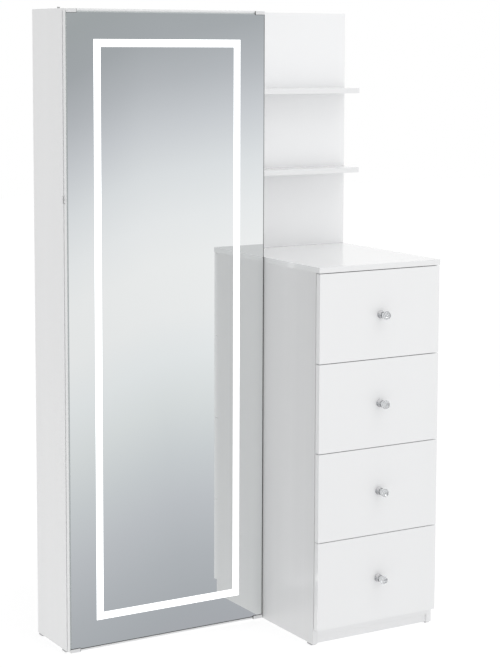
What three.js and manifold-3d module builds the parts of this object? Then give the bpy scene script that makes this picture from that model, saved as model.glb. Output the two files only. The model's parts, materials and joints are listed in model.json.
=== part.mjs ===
// Dressing unit: a tall shallow mirror cabinet with a lit full-length door, a display back
// with two open shelves, and a chest of four drawers that stands beside and in front of it.
// Millimetres, +Z up, front towards -Y. The origin is at the middle of the footprint, on the floor.
import * as THREE from 'three';
import { mergeVertices } from 'three/addons/utils/BufferGeometryUtils.js';
import Module from 'manifold-3d';

const wasm = await Module();
wasm.setup();

// ---- driving dimensions -------------------------------------------------------------------
const HEIGHT = 1800;
const BOARD = 16;
const THIN_BACK = 4;
const GLIDE = 4;
const CABINET_WIDTH = 630;
const CHEST_WIDTH = 416;
const CHEST_HEIGHT = 1088;
const CHEST_DEPTH = 516;
const CABINET_DEPTH = 220;
const KNOB_REACH = 40;
const GLASS = 4;
const DOOR_GAP = 3;
const DOOR_MARGIN = 1;
const DOOR_BOTTOM = 6;
const GLASS_MARGIN = 6;

const FULL_WIDTH = CABINET_WIDTH + CHEST_WIDTH;
const LEFT = -FULL_WIDTH / 2;
const RIGHT = FULL_WIDTH / 2;
const SEAM = LEFT + CABINET_WIDTH;
const BACK = (CHEST_DEPTH + KNOB_REACH) / 2;
const DRAWER_FACE = BACK - CHEST_DEPTH;
const MIRROR_FACE = BACK - CABINET_DEPTH;

// ---- finishes -----------------------------------------------------------------------------
const finish = (color, roughness, metalness = 0) =>
  new THREE.MeshStandardMaterial({ color, roughness, metalness });
const whiteBoard = finish(0xf2f3f5, 0.3);
const whiteBack = finish(0xeceef0, 0.5);
const mirrorSilver = finish(0xc9d2d8, 0.02, 1);
const litBand = finish(0xffffff, 0.6);
const chrome = finish(0xd8dadd, 0.12, 1);
const satinSteel = finish(0xb4b7bb, 0.35, 1);
const crystal = finish(0xdfeaf2, 0.03);
const darkPlastic = finish(0x2b2c2e, 0.5);
const whitePlastic = finish(0xe9eaeb, 0.45);

// ---- helpers ------------------------------------------------------------------------------
const unit = new THREE.Group();

// A box geometry between two corners, so that boards are given by the faces they meet.
function block([x0, y0, z0], [x1, y1, z1]) {
  const geometry = new THREE.BoxGeometry(x1 - x0, y1 - y0, z1 - z0);
  geometry.translate((x0 + x1) / 2, (y0 + y1) / 2, (z0 + z1) / 2);
  return geometry;
}

// A three.js geometry as a manifold solid, with its shared corners merged.
function toSolid(geometry) {
  const plain = geometry.index ? geometry.toNonIndexed() : geometry.clone();
  plain.deleteAttribute('normal');
  plain.deleteAttribute('uv');
  const merged = mergeVertices(plain, 1e-4);
  return new wasm.Manifold(new wasm.Mesh({
    numProp: 3,
    vertProperties: new Float32Array(merged.attributes.position.array),
    triVerts: new Uint32Array(merged.index.array),
  }));
}

function fromSolid(solid) {
  const mesh = solid.getMesh();
  const geometry = new THREE.BufferGeometry();
  geometry.setAttribute('position', new THREE.BufferAttribute(mesh.vertProperties, 3));
  geometry.setIndex(new THREE.BufferAttribute(mesh.triVerts, 1));
  geometry.computeVertexNormals();
  return geometry;
}

function cut(geometry, tools) {
  return fromSolid(tools.reduce((solid, tool) => solid.subtract(toSolid(tool)), toSolid(geometry)));
}

function join(geometries) {
  const [first, ...rest] = geometries.map(toSolid);
  return fromSolid(rest.reduce((solid, next) => solid.add(next), first));
}

function add(name, geometry, material) {
  const mesh = new THREE.Mesh(geometry, material);
  mesh.name = name;
  unit.add(mesh);
  return mesh;
}

const board = (name, low, high, material = whiteBoard) => add(name, block(low, high), material);

// An outline given as [y, z] points, extruded along X from x0 to x1.
function extrudeAlongX(points, x0, x1) {
  const shape = new THREE.Shape(points.map(([y, z]) => new THREE.Vector2(y, z)));
  const geometry = new THREE.ExtrudeGeometry(shape, { depth: x1 - x0, bevelEnabled: false });
  // Shape x, y and depth become Y, Z and X.
  const toYZX = new THREE.Matrix4().makeBasis(
    new THREE.Vector3(0, 1, 0),
    new THREE.Vector3(0, 0, 1),
    new THREE.Vector3(1, 0, 0),
  );
  geometry.applyMatrix4(toYZX);
  geometry.translate(x0, 0, 0);
  return geometry;
}

// A turned piece whose axis runs along Y. The profile is [radius, y] from one end to the other.
function turnedAlongY(profile, x, z, sides) {
  const points = profile.map(([radius, y]) => new THREE.Vector2(radius, y));
  const geometry = new THREE.LatheGeometry(points, sides);
  geometry.translate(x, 0, z);
  return geometry;
}

// A standing side panel: a board on two glides, one near its front edge and one near its back.
const GLIDE_INSET = 8;
const GLIDE_LENGTH = 22;
function standingSide(x0, x1, front, back, top) {
  const outline = [
    [front, GLIDE],
    [front + GLIDE_INSET, GLIDE],
    [front + GLIDE_INSET, 0],
    [front + GLIDE_INSET + GLIDE_LENGTH, 0],
    [front + GLIDE_INSET + GLIDE_LENGTH, GLIDE],
    [back - GLIDE_INSET - GLIDE_LENGTH, GLIDE],
    [back - GLIDE_INSET - GLIDE_LENGTH, 0],
    [back - GLIDE_INSET, 0],
    [back - GLIDE_INSET, GLIDE],
    [back, GLIDE],
    [back, top],
    [front, top],
  ];
  return extrudeAlongX(outline, x0, x1);
}

// ---- mirror cabinet -----------------------------------------------------------------------
const DOOR_FRONT = MIRROR_FACE + GLASS;
const DOOR_BACK = DOOR_FRONT + BOARD;
const CABINET_FRONT = DOOR_BACK + DOOR_GAP;
const CABINET_IN_LEFT = LEFT + BOARD;
const CABINET_IN_RIGHT = SEAM - BOARD;
const CABINET_FLOOR = 20;
const BACK_FACE = BACK - THIN_BACK;

const LATCH_Z = 1280;
const LATCH_HEIGHT = 22;
const LATCH_DEPTH = 7;
const INLAY = 1.5;
const INLAY_PLATE = 1.2;

function mirrorCabinet() {
  const latchPocket = block(
    [LEFT - 1, CABINET_FRONT - 1, LATCH_Z - LATCH_HEIGHT / 2],
    [LEFT + INLAY, CABINET_FRONT + LATCH_DEPTH, LATCH_Z + LATCH_HEIGHT / 2],
  );
  const leftSide = standingSide(LEFT, CABINET_IN_LEFT, CABINET_FRONT, BACK, HEIGHT);
  add('cabinet_left_side', cut(leftSide, [latchPocket]), whiteBoard);
  const rightSide = standingSide(CABINET_IN_RIGHT, SEAM, CABINET_FRONT, BACK, HEIGHT);
  add('cabinet_right_side', rightSide, whiteBoard);
  board('cabinet_top', [CABINET_IN_LEFT, CABINET_FRONT, HEIGHT - BOARD], [CABINET_IN_RIGHT, BACK, HEIGHT]);
  board(
    'cabinet_bottom',
    [CABINET_IN_LEFT, CABINET_FRONT, CABINET_FLOOR],
    [CABINET_IN_RIGHT, BACK, CABINET_FLOOR + BOARD],
  );
  board(
    'cabinet_back',
    [CABINET_IN_LEFT, BACK_FACE, CABINET_FLOOR + BOARD],
    [CABINET_IN_RIGHT, BACK, HEIGHT - BOARD],
    whiteBack,
  );

  const SHELVES = 3;
  const SHELF_SETBACK = 39;
  const lowest = CABINET_FLOOR + BOARD;
  const clear = (HEIGHT - BOARD - lowest - SHELVES * BOARD) / (SHELVES + 1);
  for (let i = 0; i < SHELVES; i += 1) {
    const z = lowest + clear * (i + 1) + BOARD * i;
    board(
      `cabinet_shelf_${i + 1}`,
      [CABINET_IN_LEFT, CABINET_FRONT + SHELF_SETBACK, z],
      [CABINET_IN_RIGHT, BACK_FACE, z + BOARD],
    );
  }

  board(
    'latch_plate',
    [LEFT, CABINET_FRONT, LATCH_Z - LATCH_HEIGHT / 2 + 0.3],
    [LEFT + INLAY_PLATE, CABINET_FRONT + LATCH_DEPTH - 0.3, LATCH_Z + LATCH_HEIGHT / 2 - 0.3],
    satinSteel,
  );

  const CAP_RADIUS = 4;
  const CAP_HEIGHT = 4;
  const CAP_SETBACK = 38;
  const cap = new THREE.CylinderGeometry(CAP_RADIUS, CAP_RADIUS, CAP_HEIGHT, 16);
  cap.rotateX(Math.PI / 2);
  cap.translate(LEFT + BOARD / 2, CABINET_FRONT + CAP_SETBACK, HEIGHT + CAP_HEIGHT / 2);
  add('top_edge_cap', cap, darkPlastic);
}

// ---- mirror door: board, glass, lit band, corner clips and lighting box ---------------------
const DOOR_LEFT = LEFT + DOOR_MARGIN;
const DOOR_RIGHT = SEAM - DOOR_MARGIN;
const DOOR_TOP = HEIGHT - DOOR_MARGIN;
const PIVOT_INSET = 2;
const HINGES = [120, 640, 1160, 1680];
const CUP_SETBACK = 23;
const CUP_RADIUS = 17.5;
const CUP_DEPTH = 11.5;

const BAND_MARGIN = 82;
const BAND_WIDTH = 21;
const BAND_DEPTH = 6;
const FIT = 0.5;

// A rectangular ring in the door's plane, from its outer edge inwards, between two depths.
function ring(outset, width, y0, y1) {
  const low = [DOOR_LEFT + BAND_MARGIN - outset, DOOR_BOTTOM + BAND_MARGIN - outset];
  const high = [DOOR_RIGHT - BAND_MARGIN + outset, DOOR_TOP - BAND_MARGIN + outset];
  const outer = block([low[0], y0, low[1]], [high[0], y1, high[1]]);
  const inner = block([low[0] + width, y0 - 1, low[1] + width], [high[0] - width, y1 + 1, high[1] - width]);
  return cut(outer, [inner]);
}

function mirrorDoor() {
  const cups = HINGES.map((z) => {
    const pocket = new THREE.CylinderGeometry(CUP_RADIUS, CUP_RADIUS, CUP_DEPTH + 1, 24);
    pocket.translate(DOOR_RIGHT - CUP_SETBACK, DOOR_BACK - CUP_DEPTH / 2 + 0.5, z);
    return pocket;
  });
  const strikePocket = block(
    [DOOR_LEFT - 1, DOOR_BACK - LATCH_DEPTH + 1, LATCH_Z - LATCH_HEIGHT / 2],
    [DOOR_LEFT + INLAY, DOOR_BACK + 1, LATCH_Z + LATCH_HEIGHT / 2],
  );
  const bandGroove = ring(0, BAND_WIDTH, DOOR_FRONT - 1, DOOR_FRONT + BAND_DEPTH);
  const slab = block([DOOR_LEFT, DOOR_FRONT, DOOR_BOTTOM], [DOOR_RIGHT, DOOR_BACK, DOOR_TOP]);
  add('mirror_door_board', cut(slab, [bandGroove, strikePocket, ...cups]), whiteBoard);

  board(
    'mirror_glass',
    [DOOR_LEFT, MIRROR_FACE, DOOR_BOTTOM + GLASS_MARGIN],
    [DOOR_RIGHT, DOOR_FRONT, DOOR_TOP - GLASS_MARGIN],
    mirrorSilver,
  );
  const band = ring(-FIT, BAND_WIDTH - 2 * FIT, DOOR_FRONT + FIT, DOOR_FRONT + BAND_DEPTH - FIT);
  add('led_light_band', band, litBand);

  board(
    'door_strike',
    [DOOR_LEFT, DOOR_BACK - LATCH_DEPTH + 1.3, LATCH_Z - LATCH_HEIGHT / 2 + 0.3],
    [DOOR_LEFT + INLAY_PLATE, DOOR_BACK, LATCH_Z + LATCH_HEIGHT / 2 - 0.3],
    satinSteel,
  );

  // Corner clips: a plate over the glass and a lip over its edge, held on the door board.
  const CLIP_WIDTH = 30;
  const CLIP_HEIGHT = 10;
  const CLIP_PLATE = 2;
  const LIP = GLASS_MARGIN - 0.5;
  const clipXs = { left: DOOR_LEFT, right: DOOR_RIGHT - PIVOT_INSET - CLIP_WIDTH };
  for (const [side, x] of Object.entries(clipXs)) {
    for (const end of ['bottom', 'top']) {
      const edge = end === 'top' ? DOOR_TOP : DOOR_BOTTOM;
      const inward = end === 'top' ? -1 : 1;
      const outline = [
        [MIRROR_FACE - CLIP_PLATE, edge],
        [DOOR_FRONT, edge],
        [DOOR_FRONT, edge + inward * LIP],
        [MIRROR_FACE, edge + inward * LIP],
        [MIRROR_FACE, edge + inward * CLIP_HEIGHT],
        [MIRROR_FACE - CLIP_PLATE, edge + inward * CLIP_HEIGHT],
      ];
      add(`mirror_clip_${end}_${side}`, extrudeAlongX(outline, x, x + CLIP_WIDTH), satinSteel);
    }
  }

  // Lighting box on the inner face, with a socket for the plug of its supply in its underside.
  const boxLow = [-80, DOOR_BACK, 1480];
  const boxHigh = [0, DOOR_BACK + 18, 1600];
  const SOCKET_RADIUS = 3.5;
  const SOCKET_DEPTH = 12;
  const socket = new THREE.CylinderGeometry(SOCKET_RADIUS, SOCKET_RADIUS, SOCKET_DEPTH + 1, 16);
  socket.rotateX(Math.PI / 2);
  socket.translate(-40, DOOR_BACK + 9, boxLow[2] + (SOCKET_DEPTH - 1) / 2);
  add('led_control_box', cut(block(boxLow, boxHigh), [socket]), whitePlastic);
}

// ---- concealed hinges: a cup in the door, an arm and plate on the cabinet's right side ------
function hinges() {
  const FLANGE = 1.2;
  const CUP_WALL = 1.5;
  const LIFT = 0.3;
  const cupX = DOOR_RIGHT - CUP_SETBACK;
  const rim = DOOR_BACK + LIFT;
  const radius = CUP_RADIUS - LIFT;
  const profile = [
    [0, rim - CUP_DEPTH + 0.7],
    [radius, rim - CUP_DEPTH + 0.7],
    [radius, rim],
    [radius + 4.5, rim],
    [radius + 4.5, rim + FLANGE],
    [radius - CUP_WALL, rim + FLANGE],
    [radius - CUP_WALL, rim - CUP_DEPTH + 2.5],
    [0, rim - CUP_DEPTH + 2.5],
  ];
  const wall = CABINET_IN_RIGHT;
  HINGES.forEach((z, i) => {
    add(`hinge_cup_${i + 1}`, turnedAlongY(profile, cupX, z, 24), satinSteel);
    const plate = block([wall - 2, CABINET_FRONT + 14, z - 25], [wall, CABINET_FRONT + 69, z + 25]);
    const arm = block([wall - 14, CABINET_FRONT + 3, z - 8], [wall - 1, CABINET_FRONT + 60, z + 8]);
    add(`hinge_arm_${i + 1}`, join([plate, arm]), satinSteel);
  });
}

// ---- display back and its two shelves -----------------------------------------------------
const DISPLAY_BACK = 12;
const DISPLAY_SHELF_DEPTH = 82;
const DISPLAY_SHELF_TOPS = [1330, 1573];

function display() {
  const front = BACK - DISPLAY_BACK;
  board('display_back', [SEAM, front, CHEST_HEIGHT], [RIGHT, BACK, HEIGHT]);
  DISPLAY_SHELF_TOPS.forEach((top, i) => {
    board(`display_shelf_${i + 1}`, [SEAM, front - DISPLAY_SHELF_DEPTH, top - BOARD], [RIGHT, front, top]);
  });
}

// ---- chest of drawers ---------------------------------------------------------------------
const FRONT_BOARD = 18;
const FRONT_GAP = 2;
const CARCASS_FRONT = DRAWER_FACE + FRONT_BOARD + FRONT_GAP;
const CHEST_IN_LEFT = SEAM + BOARD;
const CHEST_IN_RIGHT = RIGHT - BOARD;
const CHEST_TOP_UNDER = CHEST_HEIGHT - BOARD;
const CHEST_FLOOR = 28;
const PLINTH_SETBACK = 6;

function chest() {
  const leftSide = standingSide(SEAM, CHEST_IN_LEFT, CARCASS_FRONT, BACK, CHEST_TOP_UNDER);
  add('chest_left_side', leftSide, whiteBoard);
  const rightSide = standingSide(CHEST_IN_RIGHT, RIGHT, CARCASS_FRONT, BACK, CHEST_TOP_UNDER);
  add('chest_right_side', rightSide, whiteBoard);
  board('chest_top', [SEAM, DRAWER_FACE, CHEST_TOP_UNDER], [RIGHT, BACK, CHEST_HEIGHT]);
  board(
    'chest_bottom',
    [CHEST_IN_LEFT, CARCASS_FRONT, CHEST_FLOOR],
    [CHEST_IN_RIGHT, BACK, CHEST_FLOOR + BOARD],
  );
  const plinthFront = CARCASS_FRONT + PLINTH_SETBACK;
  board('chest_plinth', [CHEST_IN_LEFT, plinthFront, GLIDE], [CHEST_IN_RIGHT, plinthFront + BOARD, CHEST_FLOOR]);
  board(
    'chest_back',
    [CHEST_IN_LEFT, BACK_FACE, CHEST_FLOOR + BOARD],
    [CHEST_IN_RIGHT, BACK, CHEST_TOP_UNDER],
    whiteBack,
  );
}

const DRAWERS = 4;
const DRAWER_PITCH = 256;
const FRONT_HEIGHT = 254;
const FIRST_FRONT_TOP = CHEST_TOP_UNDER - 2;
const FRONT_SIDE_MARGIN = 2;
const BOX_CLEARANCE = 12;
const BOX_WALL = 12;
const BOX_LENGTH = 450;
const BOX_HEIGHT = 180;
const BOX_RISE = 20;
const BOX_FLOOR = 8;
const KNOB_SPLIT = 14;

// Side runner: a C channel screwed to the chest side, open towards the drawer.
function runner(name, wall, inward, z) {
  const DEPTH = 10.5;
  const HALF = 22.5;
  const SHEET = 2;
  const outline = [
    [wall, z - HALF],
    [wall + inward * DEPTH, z - HALF],
    [wall + inward * DEPTH, z - HALF + SHEET],
    [wall + inward * SHEET, z - HALF + SHEET],
    [wall + inward * SHEET, z + HALF - SHEET],
    [wall + inward * DEPTH, z + HALF - SHEET],
    [wall + inward * DEPTH, z + HALF],
    [wall, z + HALF],
  ];
  const shape = new THREE.Shape(outline.map(([x, up]) => new THREE.Vector2(x, up)));
  const geometry = new THREE.ExtrudeGeometry(shape, { depth: BOX_LENGTH, bevelEnabled: false });
  geometry.rotateX(Math.PI / 2);
  geometry.translate(0, CARCASS_FRONT + FRONT_GAP + BOX_LENGTH, 0);
  add(name, geometry, satinSteel);
}

function drawer(index) {
  const top = FIRST_FRONT_TOP - DRAWER_PITCH * index;
  const bottom = top - FRONT_HEIGHT;
  const name = `drawer_${index + 1}`;
  const frontBack = DRAWER_FACE + FRONT_BOARD;
  board(
    `${name}_front`,
    [SEAM + FRONT_SIDE_MARGIN, DRAWER_FACE, bottom],
    [RIGHT - FRONT_SIDE_MARGIN, frontBack, top],
  );

  const low = [CHEST_IN_LEFT + BOX_CLEARANCE, frontBack, bottom + BOX_RISE];
  const high = [CHEST_IN_RIGHT - BOX_CLEARANCE, frontBack + BOX_LENGTH, bottom + BOX_RISE + BOX_HEIGHT];
  const hollow = block(
    [low[0] + BOX_WALL, low[1] + BOX_WALL, low[2] + BOX_FLOOR],
    [high[0] - BOX_WALL, high[1] - BOX_WALL, high[2] + 1],
  );
  add(`${name}_box`, cut(block(low, high), [hollow]), whiteBack);

  const knobX = (SEAM + RIGHT) / 2;
  const knobZ = (top + bottom) / 2;
  const baseProfile = [
    [0, DRAWER_FACE - KNOB_SPLIT],
    [10.5, DRAWER_FACE - KNOB_SPLIT],
    [10.5, DRAWER_FACE - 12],
    [6, DRAWER_FACE - 7.5],
    [6, DRAWER_FACE - 4.5],
    [12, DRAWER_FACE - 2.5],
    [12, DRAWER_FACE],
    [0, DRAWER_FACE],
  ];
  const headProfile = [
    [0, DRAWER_FACE - KNOB_REACH],
    [7, DRAWER_FACE - KNOB_REACH],
    [12.5, DRAWER_FACE - KNOB_REACH + 9],
    [12.5, DRAWER_FACE - KNOB_REACH + 14],
    [7.5, DRAWER_FACE - KNOB_SPLIT - 0.3],
    [0, DRAWER_FACE - KNOB_SPLIT - 0.3],
  ];
  add(`${name}_knob_base`, turnedAlongY(baseProfile, knobX, knobZ, 20), chrome);
  add(`${name}_knob_crystal`, turnedAlongY(headProfile, knobX, knobZ, 12), crystal);

  const runnerZ = (low[2] + high[2]) / 2;
  runner(`${name}_runner_left`, CHEST_IN_LEFT, 1, runnerZ);
  runner(`${name}_runner_right`, CHEST_IN_RIGHT, -1, runnerZ);
}

mirrorCabinet();
mirrorDoor();
hinges();
display();
chest();
for (let index = 0; index < DRAWERS; index += 1) {
  drawer(index);
}

export default unit;
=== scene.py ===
# %% [markdown]
# # A white dressing unit with a lit mirror door
#
# This lesson dresses a finished furniture model for its portrait. The joiner's model is already
# there: boards, runners, hinges, door and drawers, each one a node that slides or swings on its
# body. What is left is what a finisher does: the grain and gloss of the laminate, the silvering
# of the mirror, the frosted band that glows, the cut crystal and chrome of the knobs, and the
# small hardware that a cabinet maker adds last.
#
# Every length is in metres. The frame has +Z up and the front of the unit towards -Y.

# %% Load the joiner's model
import json
import math

import bmesh
import bpy
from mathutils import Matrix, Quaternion, Vector


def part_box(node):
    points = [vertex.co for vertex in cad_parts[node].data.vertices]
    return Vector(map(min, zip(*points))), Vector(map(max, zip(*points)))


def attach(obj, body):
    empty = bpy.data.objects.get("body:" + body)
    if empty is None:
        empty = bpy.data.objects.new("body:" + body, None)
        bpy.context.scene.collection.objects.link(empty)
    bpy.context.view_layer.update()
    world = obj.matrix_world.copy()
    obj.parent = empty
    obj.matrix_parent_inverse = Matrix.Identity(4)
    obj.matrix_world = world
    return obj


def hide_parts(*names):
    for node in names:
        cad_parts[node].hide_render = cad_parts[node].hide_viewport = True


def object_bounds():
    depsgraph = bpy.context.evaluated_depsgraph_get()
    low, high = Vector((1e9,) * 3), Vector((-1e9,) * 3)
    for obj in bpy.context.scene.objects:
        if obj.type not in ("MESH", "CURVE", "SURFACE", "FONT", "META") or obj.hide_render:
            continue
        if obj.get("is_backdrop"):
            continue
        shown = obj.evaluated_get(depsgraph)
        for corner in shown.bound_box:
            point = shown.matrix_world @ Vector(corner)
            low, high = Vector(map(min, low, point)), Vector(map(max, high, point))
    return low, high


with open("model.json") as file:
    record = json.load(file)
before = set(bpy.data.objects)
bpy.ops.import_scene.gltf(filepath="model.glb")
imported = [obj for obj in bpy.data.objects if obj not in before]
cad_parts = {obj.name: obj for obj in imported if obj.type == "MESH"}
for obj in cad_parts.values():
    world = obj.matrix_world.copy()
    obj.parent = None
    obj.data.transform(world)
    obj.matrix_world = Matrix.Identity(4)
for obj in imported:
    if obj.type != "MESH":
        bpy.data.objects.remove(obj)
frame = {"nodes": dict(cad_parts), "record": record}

CAD_LOW, CAD_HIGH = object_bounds()
MM = 0.001
nodes = frame["nodes"]
slot_of = {part["node"]: part["material_slot"] for part in frame["record"]["subparts"]}
print("unit is", [round(side / MM) for side in CAD_HIGH - CAD_LOW], "mm, in", len(nodes), "nodes")

# %% [markdown]
# ## The camera
#
# Catalogue pictures of tall furniture are taken from far away with a long lens, from about eye
# height, so that upright edges stay nearly upright. A view camera would be set level and its back
# raised until the feet came into the frame. Here the lens is dropped a few degrees, and only a
# little of that rise, the shift, is used, because a large shift would push the piece out of
# the frame when it is seen from its other sides.

# %% Camera
EYE = Vector((-2.571, -4.346, 1.700))
TURN_RIGHT = math.radians(30.84)
LOOK_DOWN = math.radians(6.24)
ROLL = 0.0035
LENS = 95.92
RISE = -0.14

camera_data = bpy.data.cameras.new("catalogue_camera")
camera_data.lens = LENS
camera_data.sensor_width = 36
camera_data.shift_y = RISE
camera_data.dof.use_dof = False
camera_data.clip_end = 60
camera = bpy.data.objects.new("catalogue_camera", camera_data)
bpy.context.scene.collection.objects.link(camera)
aim = Vector((
    math.sin(TURN_RIGHT) * math.cos(LOOK_DOWN),
    math.cos(TURN_RIGHT) * math.cos(LOOK_DOWN),
    -math.sin(LOOK_DOWN),
))
camera.rotation_mode = "QUATERNION"
camera.rotation_quaternion = aim.to_track_quat("-Z", "Y") @ Quaternion((0, 0, 1), ROLL)
camera.location = EYE
bpy.context.scene.camera = camera
print("camera stands", round((EYE - (CAD_LOW + CAD_HIGH) / 2).length, 2), "m from the unit")

# %% [markdown]
# ## Studio light
#
# White furniture is lit in a white room: light comes from everywhere, a little less of it from
# the left, so that each face of a box keeps its own grey. That is a job for the world, not for
# lamps. A mirror needs a second thought, because it shows the room itself: photographers hang a
# grey card with a bright middle where the mirror looks. So the world has two faces: a soft white
# one that lights matt surfaces, and a graded grey one that polished surfaces see.

# %% A small helper for node trees
def wire(tree, kind, inputs=None, **settings):
    """Adds a node, sets its plain values, and links any input given as a socket."""
    node = tree.nodes.new(kind)
    for key, value in settings.items():
        setattr(node, key, value)
    for key, value in (inputs or {}).items():
        if isinstance(value, bpy.types.NodeSocket):
            tree.links.new(value, node.inputs[key])
        else:
            node.inputs[key].default_value = value
    return node


def ramp(tree, factor, stops):
    """A colour ramp with (place, (r, g, b)) stops."""
    node = wire(tree, "ShaderNodeValToRGB", {"Fac": factor})
    band = node.color_ramp
    band.elements[0].position, band.elements[1].position = stops[0][0], stops[-1][0]
    for place, colour in stops[1:-1]:
        band.elements.new(place)
    for element, (place, colour) in zip(band.elements, stops):
        element.color = (*colour, 1)
    return node.outputs["Color"]


def maths(tree, operation, first, second):
    return wire(tree, "ShaderNodeMath", {0: first, 1: second}, operation=operation).outputs[0]


# %% World: what matt surfaces receive
world = bpy.data.worlds.new("white_studio")
bpy.context.scene.world = world
world.use_nodes = True
sky = world.node_tree
sky.nodes.clear()
direction = wire(sky, "ShaderNodeTexCoord").outputs["Generated"]
axes = wire(sky, "ShaderNodeSeparateXYZ", {"Vector": direction}).outputs

LEFT_WALL, RIGHT_WALL = 0.17, 0.40
CEILING_GAIN = 0.56
FRONT_GAIN = 0.40
side_light = wire(sky, "ShaderNodeMapRange", {
    "Value": axes["X"], "From Min": -1.0, "From Max": 1.0, "To Min": LEFT_WALL, "To Max": RIGHT_WALL,
}).outputs["Result"]
top_light = wire(sky, "ShaderNodeMapRange", {
    "Value": axes["Z"], "From Min": 0.0, "From Max": 1.0, "To Min": 0.0, "To Max": CEILING_GAIN,
}).outputs["Result"]
front_light = wire(sky, "ShaderNodeMapRange", {
    "Value": axes["Y"], "From Min": 0.0, "From Max": -1.0, "To Min": 0.0, "To Max": FRONT_GAIN,
}).outputs["Result"]
room_light = maths(sky, "ADD", maths(sky, "ADD", side_light, top_light), front_light)
matt_light = wire(sky, "ShaderNodeBackground", {
    "Color": (1.0, 1.0, 1.0, 1), "Strength": room_light,
}).outputs[0]

# %% World: what the mirror sees
# The card is graded by height above or below the horizon, where 1 is straight up. It leans: its
# bright line climbs from left to right, steeply up to the bend and gently after it, and the card
# gains a little brightness on the way. BEND is how far right a direction points, and REACH is
# how far the lean goes on either side of it.
CARD = [
    (-0.850, (0.700, 0.700, 0.705)),
    (-0.450, (0.430, 0.440, 0.460)),
    (-0.330, (0.400, 0.406, 0.440)),
    (-0.304, (0.420, 0.440, 0.468)),
    (-0.279, (0.469, 0.490, 0.519)),
    (-0.253, (0.541, 0.560, 0.591)),
    (-0.227, (0.622, 0.650, 0.671)),
    (-0.201, (0.722, 0.750, 0.758)),
    (-0.176, (0.804, 0.828, 0.840)),
    (-0.150, (0.868, 0.875, 0.880)),
    (-0.124, (0.880, 0.886, 0.890)),
    (-0.099, (0.840, 0.853, 0.866)),
    (-0.073, (0.753, 0.774, 0.795)),
    (-0.047, (0.619, 0.638, 0.669)),
    (-0.021, (0.483, 0.502, 0.530)),
    (0.004, (0.395, 0.416, 0.437)),
    (0.030, (0.378, 0.402, 0.415)),
    (0.120, (0.520, 0.530, 0.540)),
    (0.300, (0.900, 0.900, 0.905)),
]
BEND = 0.46
REACH = 0.08
LEAN_LEFT, LEAN_RIGHT = 0.6, 0.2
CARD_GAIN = 0.75
left_part = wire(sky, "ShaderNodeMapRange", {
    "Value": axes["X"], "From Min": BEND - REACH, "From Max": BEND, "To Min": -REACH, "To Max": 0.0,
}).outputs["Result"]
right_part = wire(sky, "ShaderNodeMapRange", {
    "Value": axes["X"], "From Min": BEND, "From Max": BEND + REACH, "To Min": 0.0, "To Max": REACH,
}).outputs["Result"]
lean = maths(sky, "ADD", maths(sky, "MULTIPLY", left_part, LEAN_LEFT),
             maths(sky, "MULTIPLY", right_part, LEAN_RIGHT))
height = maths(sky, "SUBTRACT", axes["Z"], lean)
gain = maths(sky, "MULTIPLY", maths(sky, "ADD", left_part, right_part), CARD_GAIN)
card_low, card_high = CARD[0][0], CARD[-1][0]
on_card = wire(sky, "ShaderNodeMapRange", {
    "Value": height, "From Min": card_low, "From Max": card_high,
}).outputs["Result"]
stops = [((place - card_low) / (card_high - card_low), colour) for place, colour in CARD]
card = wire(sky, "ShaderNodeBackground", {
    "Color": ramp(sky, on_card, stops),
    "Strength": maths(sky, "ADD", gain, 1.0),
}).outputs[0]

# %% World: put together
# The card hangs in front of the unit only. Behind it, polished surfaces see the white wall.
white_wall = wire(sky, "ShaderNodeBackground", {"Color": (1, 1, 1, 1), "Strength": 1.0}).outputs[0]
WALL_BEGINS, WALL_FULL = -0.15, 0.15
behind = wire(sky, "ShaderNodeMapRange", {
    "Value": axes["Y"], "From Min": WALL_BEGINS, "From Max": WALL_FULL,
}).outputs["Result"]
around = wire(sky, "ShaderNodeMixShader", {0: behind, 1: card, 2: white_wall}).outputs[0]
ray = wire(sky, "ShaderNodeLightPath").outputs
polished = wire(sky, "ShaderNodeMixShader", {0: ray["Is Glossy Ray"], 1: matt_light, 2: around})
seen = wire(sky, "ShaderNodeMixShader", {0: ray["Is Camera Ray"], 1: polished.outputs[0], 2: white_wall})
wire(sky, "ShaderNodeOutputWorld", {"Surface": seen.outputs[0]})
bpy.context.scene.view_settings.view_transform = "Standard"
bpy.context.scene.view_settings.look = "None"
print("world has", len(sky.nodes), "nodes")

# %% [markdown]
# One large soft box hangs overhead, a little in front and to the right. It lights the chest top
# and the shelves, and puts a faint shadow under them. It is hidden from polished surfaces,
# because a hard white square in the mirror would look like a window.

# %% Soft box
SOFT_BOX_PLACE = Vector((0.7, -1.3, 4.2))
SOFT_BOX_SIZE = 2.8
SOFT_BOX_POWER = 24
SOFT_BOX_AIM = Vector((0.2, 0, 0.9))
soft_box_data = bpy.data.lights.new("soft_box", "AREA")
soft_box_data.size = SOFT_BOX_SIZE
soft_box_data.energy = SOFT_BOX_POWER
soft_box = bpy.data.objects.new("soft_box", soft_box_data)
soft_box.location = SOFT_BOX_PLACE
soft_box.rotation_euler = (SOFT_BOX_AIM - SOFT_BOX_PLACE).to_track_quat("-Z", "Y").to_euler()
soft_box.visible_glossy = False
bpy.context.scene.collection.objects.link(soft_box)

# %% [markdown]
# ## The floor
#
# The floor is a plain white sheet. It glows a little as well as taking light, so that it stays
# white out to the horizon and keeps only a breath of shadow round the feet. Polished surfaces
# don't see it: they see the graded card instead.

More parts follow.
